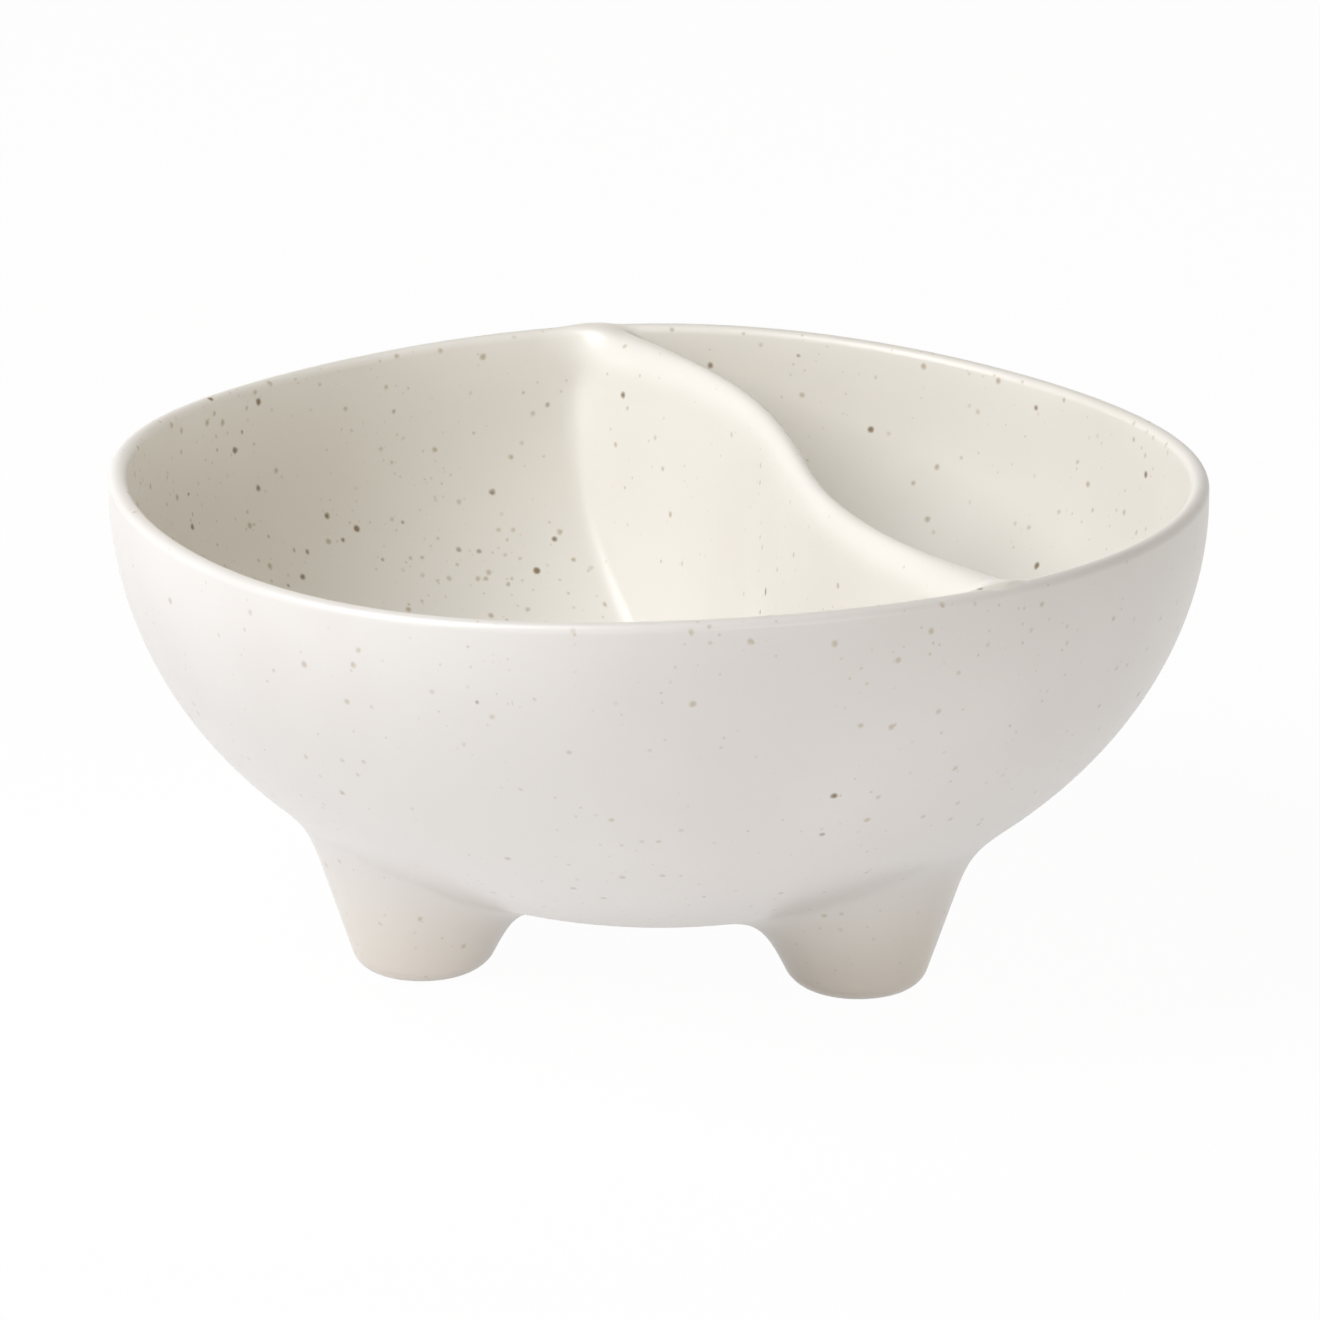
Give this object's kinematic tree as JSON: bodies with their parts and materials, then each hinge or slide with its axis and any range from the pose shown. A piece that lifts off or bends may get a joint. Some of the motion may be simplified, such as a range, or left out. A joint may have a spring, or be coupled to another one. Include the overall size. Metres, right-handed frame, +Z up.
{
  "type": "divided serving bowl",
  "caption": "Round stoneware serving bowl on flared feet, parted by an S-curved wall into a large and a small compartment, for serving different foods side by side.",
  "frame": {"origin": "on the table, under the middle of the bowl", "axes": "+Z up from the table to the rim; +Y along the divider; +X from the large compartment to the small one"},
  "size_m": [0.2, 0.2, 0.0895],
  "materials": {
    "glazed_stoneware": "glossy cream glaze with fine brown iron specks"
  },
  "bodies": {
    "root": {"bowl_shell": "glazed_stoneware", "divider_wall": "glazed_stoneware", "foot_left": "glazed_stoneware", "foot_front_right": "glazed_stoneware", "foot_back_right": "glazed_stoneware"}
  },
  "joints": []
}
